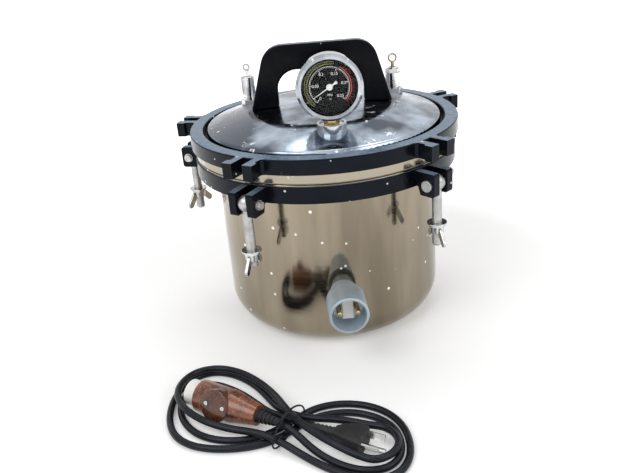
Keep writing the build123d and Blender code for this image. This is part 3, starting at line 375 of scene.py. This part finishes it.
def mottledBakelite(name, look, depth=1.0):
    material, tree, shader = newFinish(name)
    place = objectPlace(tree)
    clouds = noise(tree, place, *look["mottle"])
    flecks = noise(tree, place, *look["grain"])
    dark, mid, pale = (tuple(channel * depth for channel in look[tone]) for tone in ("dark", "mid", "pale"))
    colour = mixColour(tree, remap(tree, clouds, *look["mottleSpan"]), dark, mid)
    colour = mixColour(tree, remap(tree, flecks, *look["grainSpan"]), colour, pale)
    tree.links.new(colour, shader.inputs["Base Color"])
    tree.links.new(remap(tree, flecks, *look["rough"]), shader.inputs["Roughness"])
    addBump(tree, shader, flecks, *look["bump"])
    for socket, value in look["shader"].items():
        shader.inputs[socket].default_value = value
    return material


finishes["bakeliteBrown"] = mottledBakelite("bakeliteBrown", bakeliteLook)
finishes["bakeliteDark"] = mottledBakelite("bakeliteDark", bakeliteLook, bakeliteLook["coverDepth"])

glassLook = {
    "film": (60.0, 4.0), "filmSpan": (0.4, 0.7), "clear": (0.98, 0.99, 0.99), "misty": (0.94, 0.95, 0.95),
    "rough": (0.45, 0.75, 0.0, 0.05), "shader": {"Transmission Weight": 1.0, "IOR": 1.12}}


def gaugeGlass(name, look):
    material, tree, shader = newFinish(name)
    film = noise(tree, objectPlace(tree), *look["film"])
    colour = mixColour(tree, remap(tree, film, *look["filmSpan"]), look["clear"], look["misty"])
    tree.links.new(colour, shader.inputs["Base Color"])
    tree.links.new(remap(tree, film, *look["rough"]), shader.inputs["Roughness"])
    for socket, value in look["shader"].items():
        shader.inputs[socket].default_value = value
    return material


finishes["gaugeGlass"] = gaugeGlass("gaugeGlass", glassLook)

nodeFinish = {
    "potSteel": ["vessel_pot"],
    "lidSteel": ["lid_dome"],
    "ringEnamel": ["clamp_ring_lower", "lid_ring"],
    "handleBlack": ["handle"],
    "zincRod": ["clevis_pins", "handle_screws", "lid_under_nuts", "vent_toggle"]
    + [f"swing_bolt_{k}" for k in boltNumbers],
    "zincCasting": ["socket_shroud"],
    "nickelBright": ["vent_body", "vent_pin", "safety_body", "plug_blades"]
    + [f"{piece}_{k}" for piece in ("washer", "wing_nut") for k in boltNumbers],
    "chromeTrim": ["gauge_case", "gauge_bezel", "gauge_seat_nut"],
    "wornBrass": ["gauge_stem", "socket_contacts"],
    "agedBrass": ["safety_stem"],
    "dialBlack": ["gauge_dial"],
    "printWhite": ["gauge_pointer"],
    "gaugeGlass": ["gauge_lens"],
    "glazedWhite": ["socket_insulator", "connector_sleeve"],
    "gasketGrey": ["lid_gasket"],
    "plugBlack": ["connector_relief", "plug_relief", "plug_body"],
    "bakeliteBrown": ["connector_shell"],
    "elementSteel": ["heating_element"],
    "trayAluminium": ["steam_rack", "inner_drum"],
}
for finish, names in nodeFinish.items():
    for name in names:
        slots = nodes[name].data.materials
        slots.clear()
        slots.append(finishes[finish])
leadCord.data.materials.append(finishes["cordBlack"])
leadTie.data.materials.append(finishes["cordBlack"])
print("finishes made:", len(finishes))


# helpers for pieces made in mesh code and by Geometry Nodes
def meshPiece(name, bm, finish, smooth=True):
    bmesh.ops.recalc_face_normals(bm, faces=bm.faces)
    data = bpy.data.meshes.new(name)
    bm.to_mesh(data)
    bm.free()
    for polygon in data.polygons:
        polygon.use_smooth = smooth
    data.materials.append(finishes[finish])
    return newObject(name, data)


def bakeTree(name, tree, values, place):
    source = newObject(name + "Source", bpy.data.meshes.new(name + "Source"))
    modifier = source.modifiers.new("build", "NODES")
    modifier.node_group = tree
    for item in tree.interface.items_tree:
        if item.item_type == "SOCKET" and item.in_out == "INPUT" and item.name in values:
            modifier[item.identifier] = values[item.name]
    data = evaluatedMesh(source)
    bpy.data.objects.remove(source)
    data.transform(place)
    data.name = name
    return newObject(name, data)


def newTree(name, inputs):
    tree = bpy.data.node_groups.new(name, "GeometryNodeTree")
    for label, kind in inputs:
        tree.interface.new_socket(label, in_out="INPUT", socket_type=kind)
    tree.interface.new_socket("Geometry", in_out="OUTPUT", socket_type="NodeSocketGeometry")
    return tree, tree.nodes.new("NodeGroupInput").outputs, tree.nodes.new("NodeGroupOutput").inputs


# threads on the swing bolts
threadLook = {
    "pitch": 0.0015, "radius": 0.00485, "ridge": 0.0007, "span": 0.0505, "top": 0.0165,
    "steps": 22, "sides": 4}


def threadTree():
    tree, given, result = newTree("rodThread", [
        ("Turns", "NodeSocketFloat"), ("Span", "NodeSocketFloat"), ("Radius", "NodeSocketFloat"),
        ("Ridge", "NodeSocketFloat"), ("Steps", "NodeSocketInt"), ("Finish", "NodeSocketMaterial")])
    spiral = tree.nodes.new("GeometryNodeCurveSpiral")
    profile = tree.nodes.new("GeometryNodeCurvePrimitiveCircle")
    sweep = tree.nodes.new("GeometryNodeCurveToMesh")
    realize = tree.nodes.new("GeometryNodeRealizeInstances")
    dress = tree.nodes.new("GeometryNodeSetMaterial")
    profile.inputs["Resolution"].default_value = threadLook["sides"]
    links = tree.links
    links.new(given["Turns"], spiral.inputs["Rotations"])
    links.new(given["Span"], spiral.inputs["Height"])
    links.new(given["Steps"], spiral.inputs["Resolution"])
    links.new(given["Radius"], spiral.inputs["Start Radius"])
    links.new(given["Radius"], spiral.inputs["End Radius"])
    links.new(mathNode(tree, "MULTIPLY", given["Ridge"], 0.5), profile.inputs["Radius"])
    links.new(spiral.outputs[0], sweep.inputs["Curve"])
    links.new(profile.outputs[0], sweep.inputs["Profile Curve"])
    sweep.inputs["Fill Caps"].default_value = True
    links.new(sweep.outputs[0], realize.inputs[0])
    links.new(realize.outputs[0], dress.inputs["Geometry"])
    links.new(given["Finish"], dress.inputs["Material"])
    links.new(dress.outputs[0], result["Geometry"])
    return tree


threads = threadTree()
pinRing = {"radius": 0.164, "height": 0.188, "first": 24.0, "step": 72.0}
for k in range(boltCount):
    angle = math.radians(pinRing["first"] + pinRing["step"] * k)
    foot = Vector((pinRing["radius"] * math.cos(angle), pinRing["radius"] * math.sin(angle),
                   pinRing["height"] - threadLook["top"] - threadLook["span"]))
    thread = bakeTree(f"rodThread{k + 1}", threads, {
        "Turns": threadLook["span"] / threadLook["pitch"], "Span": threadLook["span"],
        "Radius": threadLook["radius"], "Ridge": threadLook["ridge"], "Steps": threadLook["steps"],
        "Finish": finishes["zincRod"]}, Matrix.Translation(foot) @ Matrix.Rotation(angle, 4, "Z"))
    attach(thread, f"bolt_{k + 1}")
print("threads cut on", boltCount, "bolts")

# gauge dial print; a share is 0 at the scale's start and 1 at its end
dialLook = {
    "centre": (0.0085, -0.094, 0.285667), "zero": 228.0, "sweep": 270.0, "raise": 0.00005, "bandStep": 3,
    "numerals": ("0", "0.05", "0.1", "0.15", "0.2", "0.25"), "numeralRadius": 0.0146, "numeralSize": 0.0041,
    "longText": 3, "longShift": 0.0006,
    "degrees": ("105", "115", "121", "126"), "degreeRadius": 0.0272, "degreeSize": 0.0021,
    "degreeFirst": 0.06, "degreeStep": 0.2,
    "units": [("unitPressure", "MPa", -0.0080, 0.0030), ("unitHeat", "°C", -0.0124, 0.0026)]}
toDial = Matrix.Translation(dialLook["centre"]) @ Matrix.Rotation(math.radians(90), 4, "X")


def dialAngle(share):
    return math.radians(dialLook["zero"] - dialLook["sweep"] * share)


# blocks on an arc, for the dial's ticks and for ribs round a barrel
def blockRowTree():
    tree, given, result = newTree("blockRow", [
        ("Count", "NodeSocketInt"), ("Radius", "NodeSocketFloat"), ("Start", "NodeSocketFloat"),
        ("Sweep", "NodeSocketFloat"), ("Length", "NodeSocketFloat"), ("Width", "NodeSocketFloat"),
        ("Rise", "NodeSocketFloat"), ("Finish", "NodeSocketMaterial")])
    links = tree.links
    row = tree.nodes.new("GeometryNodeMeshLine")
    setPlace = tree.nodes.new("GeometryNodeSetPosition")
    index = tree.nodes.new("GeometryNodeInputIndex")
    along = tree.nodes.new("ShaderNodeCombineXYZ")
    turned = tree.nodes.new("ShaderNodeCombineXYZ")
    size = tree.nodes.new("ShaderNodeCombineXYZ")
    block = tree.nodes.new("GeometryNodeMeshCube")
    copies = tree.nodes.new("GeometryNodeInstanceOnPoints")
    realize = tree.nodes.new("GeometryNodeRealizeInstances")
    dress = tree.nodes.new("GeometryNodeSetMaterial")
    steps = mathNode(tree, "SUBTRACT", given["Count"], 1.0)
    share = mathNode(tree, "DIVIDE", index.outputs[0], steps)
    angle = mathNode(tree, "SUBTRACT", given["Start"], mathNode(tree, "MULTIPLY", given["Sweep"], share))
    links.new(given["Count"], row.inputs["Count"])
    for operation, socket in (("COSINE", "X"), ("SINE", "Y")):
        part = mathNode(tree, operation, angle, 0.0)
        links.new(mathNode(tree, "MULTIPLY", given["Radius"], part), along.inputs[socket])
    links.new(angle, turned.inputs["Z"])
    links.new(given["Length"], size.inputs["X"])
    links.new(given["Width"], size.inputs["Y"])
    links.new(given["Rise"], size.inputs["Z"])
    links.new(size.outputs[0], block.inputs["Size"])
    links.new(row.outputs[0], setPlace.inputs["Geometry"])
    links.new(along.outputs[0], setPlace.inputs["Position"])
    links.new(setPlace.outputs[0], copies.inputs["Points"])
    links.new(block.outputs[0], copies.inputs["Instance"])
    links.new(turned.outputs[0], copies.inputs["Rotation"])
    links.new(copies.outputs[0], realize.inputs[0])
    links.new(realize.outputs[0], dress.inputs["Geometry"])
    links.new(given["Finish"], dress.inputs["Material"])
    links.new(dress.outputs[0], result["Geometry"])
    return tree


blockRow = blockRowTree()
# name, count, radius, first share, span, length, width, finish
tickRows = [
    ("minorTicks", 51, 0.0194, 0.0, 1.0, 0.0013, 0.00036, "printWhite"),
    ("majorTicks", 6, 0.0182, 0.0, 1.0, 0.0025, 0.0006, "printWhite"),
    ("greenTicks", 30, 0.0238, 0.0, 0.56, 0.0018, 0.00028, "printGreen"),
    ("redTicks", 14, 0.0238, 0.66, 0.34, 0.0016, 0.00035, "printRed"),
]
dialPieces = []
for name, count, radius, first, span, length, width, finish in tickRows:
    dialPieces.append(bakeTree(name, blockRow, {
        "Count": count, "Radius": radius, "Start": dialAngle(first),
        "Sweep": math.radians(dialLook["sweep"] * span), "Length": length, "Width": width,
        "Rise": 2 * dialLook["raise"], "Finish": finishes[finish]}, toDial))


def arcBand(bm, radius, width, first, span):
    rise = dialLook["raise"]
    outer, inner = radius + width / 2, radius - width / 2
    count = int(dialLook["sweep"] * span / dialLook["bandStep"])
    rows = []
    for i in range(count + 1):
        angle = dialAngle(first + span * i / count)
        rows.append([bm.verts.new(toDial @ Vector((reach * math.cos(angle), reach * math.sin(angle), height)))
                     for reach, height in ((outer, 0.0), (outer, rise), (inner, rise), (inner, 0.0))])
    for row, following in zip(rows, rows[1:]):
        for i in range(4):
            bm.faces.new((row[i], row[(i + 1) % 4], following[(i + 1) % 4], following[i]))
    bm.faces.new(rows[0])
    bm.faces.new(rows[-1])


# name, radius, width, first share, span, finish
bandRows = [
    ("innerRing", 0.0201, 0.00035, 0.0, 1.0, "printWhite"),
    ("greenBand", 0.0225, 0.0004, 0.0, 0.56, "printGreen"),
    ("greenRim", 0.0251, 0.0003, 0.0, 0.56, "printGreen"),
    ("redBand", 0.0219, 0.0009, 0.62, 0.38, "printRed"),
]
for name, radius, width, first, span, finish in bandRows:
    bm = bmesh.new()
    arcBand(bm, radius, width, first, span)
    dialPieces.append(meshPiece(name, bm, finish, False))


def printText(name, text, x, y, size, finish):
    data = bpy.data.curves.new(name, "FONT")
    data.body = text
    data.size = size
    data.align_x = "CENTER"
    data.align_y = "CENTER"
    data.extrude = dialLook["raise"] / 2
    source = newObject(name + "Source", data)
    flat = evaluatedMesh(source)
    bpy.data.objects.remove(source)
    flat.transform(toDial @ Matrix.Translation((x, y, dialLook["raise"] / 2)))
    flat.name = name
    flat.materials.clear()
    flat.materials.append(finishes[finish])
    return newObject(name, flat)


for k, text in enumerate(dialLook["numerals"]):
    angle = dialAngle(k / (len(dialLook["numerals"]) - 1))
    reach = dialLook["numeralRadius"] - (dialLook["longShift"] if len(text) > dialLook["longText"] else 0.0)
    dialPieces.append(printText(f"numeral{k}", text, reach * math.cos(angle), reach * math.sin(angle),
                                dialLook["numeralSize"], "printWhite"))
for k, text in enumerate(dialLook["degrees"]):
    angle = dialAngle(dialLook["degreeFirst"] + dialLook["degreeStep"] * k)
    reach = dialLook["degreeRadius"]
    dialPieces.append(printText(f"degree{k}", text, reach * math.cos(angle), reach * math.sin(angle),
                                dialLook["degreeSize"], "printGreen"))
for name, text, height, size in dialLook["units"]:
    dialPieces.append(printText(name, text, 0.0, height, size, "printWhite"))
for piece in dialPieces:
    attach(piece, "lid")
print("dial printed:", len(dialPieces), "pieces")

# upright ribs around the vent valve's barrel
ventRibLook = {
    "count": 20, "place": (-0.085, 0.040, 0.2645), "radius": 0.00742, "depth": 0.0007, "width": 0.0011,
    "height": 0.0190}
ventRibs = bakeTree("ventRibs", blockRow, {
    "Count": ventRibLook["count"], "Radius": ventRibLook["radius"], "Start": 0.0,
    "Sweep": 2 * math.pi * (1 - 1 / ventRibLook["count"]), "Length": ventRibLook["depth"],
    "Width": ventRibLook["width"], "Rise": ventRibLook["height"], "Finish": finishes["chromeTrim"]},
    Matrix.Translation(ventRibLook["place"]))
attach(ventRibs, "lid")
print("vent ribs made")

# round cover and two screws on the connector
connectorLook = {
    "face": (-0.140, -0.2157, 0.016), "turn": -32.3, "along": 0.0285, "tilt": 24.0,
    "coverRadius": 0.0160, "coverTop": 0.0168, "coverFoot": 0.0030, "coverSides": 40,
    "edge": 0.0008, "softening": 0.3, "crown": 0.0002,
    "screwRadius": 0.0024, "screwGap": 0.0100, "screwSides": 20,
    "screwProfile": [(1.0, -0.001), (1.0, 0.0003), (0.8, 0.0006), (0.35, 0.0007)]}


def latheInto(bm, profile, place, sides):
    angles = [2 * math.pi * i / sides for i in range(sides)]
    rings = [[bm.verts.new(place @ Vector((radius * math.cos(angle), radius * math.sin(angle), height)))
              for angle in angles] for radius, height in profile]
    for lower, upper in zip(rings, rings[1:]):
        for i in range(sides):
            bm.faces.new((lower[i], lower[(i + 1) % sides], upper[(i + 1) % sides], upper[i]))
    bm.faces.new(rings[0])
    bm.faces.new(rings[-1])


turn = math.radians(connectorLook["turn"])
axis = Vector((math.cos(turn), math.sin(turn), 0.0))
tilt = math.radians(connectorLook["tilt"])
outward = Vector((math.sin(turn), -math.cos(turn), 0.0)) * math.cos(tilt) + Vector((0, 0, 1)) * math.sin(tilt)
middle = Vector(connectorLook["face"]) + axis * connectorLook["along"]
coverPlace = Matrix((axis, outward.cross(axis), outward)).transposed().to_4x4()
coverPlace = Matrix.Translation(middle) @ coverPlace
radius, top, edge, crown = (connectorLook[k] for k in ("coverRadius", "coverTop", "edge", "crown"))
soft = connectorLook["softening"] * edge
bm = bmesh.new()
latheInto(bm, [(radius, connectorLook["coverFoot"]), (radius, top - edge), (radius - soft, top - soft),
               (radius - edge, top), (radius / 2, top + crown)], coverPlace, connectorLook["coverSides"])
connectorCover = meshPiece("connectorCover", bm, "bakeliteDark")
screwRadius = connectorLook["screwRadius"]
screwProfile = [(share * screwRadius, height) for share, height in connectorLook["screwProfile"]]
bm = bmesh.new()
for side in (-1, 1):
    spot = coverPlace @ Matrix.Translation((side * connectorLook["screwGap"], 0, top - crown))
    latheInto(bm, screwProfile, spot, connectorLook["screwSides"])
coverScrews = meshPiece("coverScrews", bm, "nickelBright")
print("connector dressed")

for piece, slot in ((leadCord, "black_rubber"), (leadTie, "black_rubber"), (connectorCover, "brown_bakelite"),
                    (coverScrews, "nickel_plate")):
    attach(piece, "vessel")
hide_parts("lead_hank")
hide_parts("hank_tie")

# bridge handle with rounded shoulders, its feet standing on the lid's crown
handleLook = {
    "foot": 0.0795, "corner": 0.0590, "top": 0.3152, "cornerRound": 0.0250, "thickness": 0.012,
    "windowFoot": 0.048, "windowTop": 0.2872, "windowRound": 0.022,
    "crownTop": 0.2482, "crownRadius": 1.0, "seat": 0.0001, "edge": 0.0021,
    "steps": 12, "footSteps": 6, "edgeSteps": 3, "edgeAngle": 60, "smoothAngle": 40}


def roundedCorner(before, corner, after, radius, steps):
    first = (before - corner).normalized()
    second = (after - corner).normalized()
    half = first.angle(second) / 2
    centre = corner + (first + second).normalized() * radius / math.sin(half)
    start = corner + first * radius / math.tan(half) - centre
    end = corner + second * radius / math.tan(half) - centre
    return [centre + start.slerp(end, i / steps).normalized() * radius for i in range(steps + 1)]


def crownHeight(look, x):
    return look["crownTop"] - look["crownRadius"] + math.sqrt(look["crownRadius"] ** 2 - x * x) + look["seat"]


def handleOutline(look):
    foot, inner, steps, footSteps = (look[k] for k in ("foot", "windowFoot", "steps", "footSteps"))
    leftFoot = Vector((-foot, crownHeight(look, foot)))
    leftTop = Vector((-look["corner"], look["top"]))
    leftSill = Vector((-inner, crownHeight(look, inner)))
    leftArch = Vector((-inner, look["windowTop"]))
    flip = Vector((-1, 1))
    rightFoot, rightTop, rightSill, rightArch = (p * flip for p in (leftFoot, leftTop, leftSill, leftArch))
    outline = [leftFoot]
    outline += roundedCorner(leftFoot, leftTop, rightTop, look["cornerRound"], steps)
    outline += roundedCorner(leftTop, rightTop, rightFoot, look["cornerRound"], steps)
    underFoot = [foot + (inner - foot) * i / footSteps for i in range(footSteps + 1)]
    outline += [Vector((x, crownHeight(look, x))) for x in underFoot]
    outline += roundedCorner(rightSill, rightArch, leftArch, look["windowRound"], steps)
    outline += roundedCorner(rightArch, leftArch, leftSill, look["windowRound"], steps)
    outline += [Vector((-x, crownHeight(look, x))) for x in reversed(underFoot[1:])]
    return outline


def makeHandle(look):
    bm = bmesh.new()
    sides = []
    for y in (-look["thickness"] / 2, look["thickness"] / 2):
        sides.append([bm.verts.new((p.x, y, p.y)) for p in handleOutline(look)])
    front, back = sides
    bm.faces.new(front)
    bm.faces.new(list(reversed(back)))
    for i in range(len(front)):
        j = (i + 1) % len(front)
        bm.faces.new((front[j], front[i], back[i], back[j]))
    grip = meshPiece("handleGripRough", bm, "handleBlack")
    bevel = grip.modifiers.new("edges", "BEVEL")
    bevel.width = look["edge"]
    bevel.segments = look["edgeSteps"]
    bevel.limit_method = "ANGLE"
    bevel.angle_limit = math.radians(look["edgeAngle"])
    data = evaluatedMesh(grip)
    bpy.data.objects.remove(grip)
    data.name = "handleGrip"
    data.set_sharp_from_angle(angle=math.radians(look["smoothAngle"]))
    return newObject("handleGrip", data)


handleGrip = makeHandle(handleLook)
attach(handleGrip, "lid")
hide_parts("handle")
print("handle shaped")

# floor, lamps and surroundings
studio = {
    "floorSize": 12.0, "floorGrid": 8, "floorColour": (0.93, 0.93, 0.93),
    "grain": (300.0, 2.0), "grainTone": 0.985,
    "floorShader": {"Roughness": 0.9, "Specular IOR Level": 0.1, "Emission Color": (1.0, 1.0, 1.0, 1.0)},
    "floorGlow": 0.24, "nearEdge": 0.3, "farEdge": 0.9,
    "roomLight": 0.42, "roomColour": (1.0, 1.0, 1.0, 1.0), "aim": (0, -0.03, 0.12),
    "lamps": [
        ("keyLamp", (-1.3, -1.5, 2.2), 1.6, 26.0),
        ("fillLamp", (1.7, -1.2, 1.5), 1.4, 11.0),
        ("topLamp", (0.2, 0.9, 2.4), 1.5, 17.0),
    ]}


def seenRays(tree):
    path = tree.nodes.new("ShaderNodeLightPath")
    straight = mathNode(tree, "MAXIMUM", path.outputs["Is Camera Ray"], path.outputs["Is Glossy Ray"])
    return mathNode(tree, "MAXIMUM", straight, path.outputs["Is Transmission Ray"])


def layFloor(look):
    bm = bmesh.new()
    cells = look["floorGrid"]
    bmesh.ops.create_grid(bm, x_segments=cells, y_segments=cells, size=look["floorSize"] / 2)
    data = bpy.data.meshes.new("floor")
    bm.to_mesh(data)
    bm.free()
    floor = newObject("floor", data)
    material, tree, shader = newFinish("palePaper")
    grain = noise(tree, objectPlace(tree), *look["grain"])
    pale = look["floorColour"]
    shaded = tuple(channel * look["grainTone"] for channel in pale)
    tree.links.new(mixColour(tree, grain, pale, shaded), shader.inputs["Base Color"])
    for socket, value in look["floorShader"].items():
        shader.inputs[socket].default_value = value
    reach = tree.nodes.new("ShaderNodeVectorMath")
    reach.operation = "LENGTH"
    tree.links.new(objectPlace(tree), reach.inputs[0])
    glow = remap(tree, reach.outputs["Value"], look["nearEdge"], look["farEdge"], look["floorGlow"], 1.0)
    tree.links.new(mathNode(tree, "MULTIPLY", seenRays(tree), glow), shader.inputs["Emission Strength"])
    data.materials.append(material)


def lightRoom(look):
    for name, place, size, energy in look["lamps"]:
        data = bpy.data.lights.new(name, "AREA")
        data.shape = "SQUARE"
        data.size = size
        data.energy = energy
        lamp = newObject(name, data)
        lamp.location = place
        toward = Vector(look["aim"]) - Vector(place)
        lamp.rotation_euler = toward.to_track_quat("-Z", "Y").to_euler()
    world = bpy.data.worlds.new("room")
    world.use_nodes = True
    tree = world.node_tree
    background = tree.nodes["Background"]
    background.inputs["Color"].default_value = look["roomColour"]
    level = mathNode(tree, "MULTIPLY", seenRays(tree), 1.0 - look["roomLight"])
    tree.links.new(mathNode(tree, "ADD", level, look["roomLight"]), background.inputs["Strength"])
    scene.world = world


layFloor(studio)
lightRoom(studio)
scene.view_settings.view_transform = "Standard"
print("studio lit")
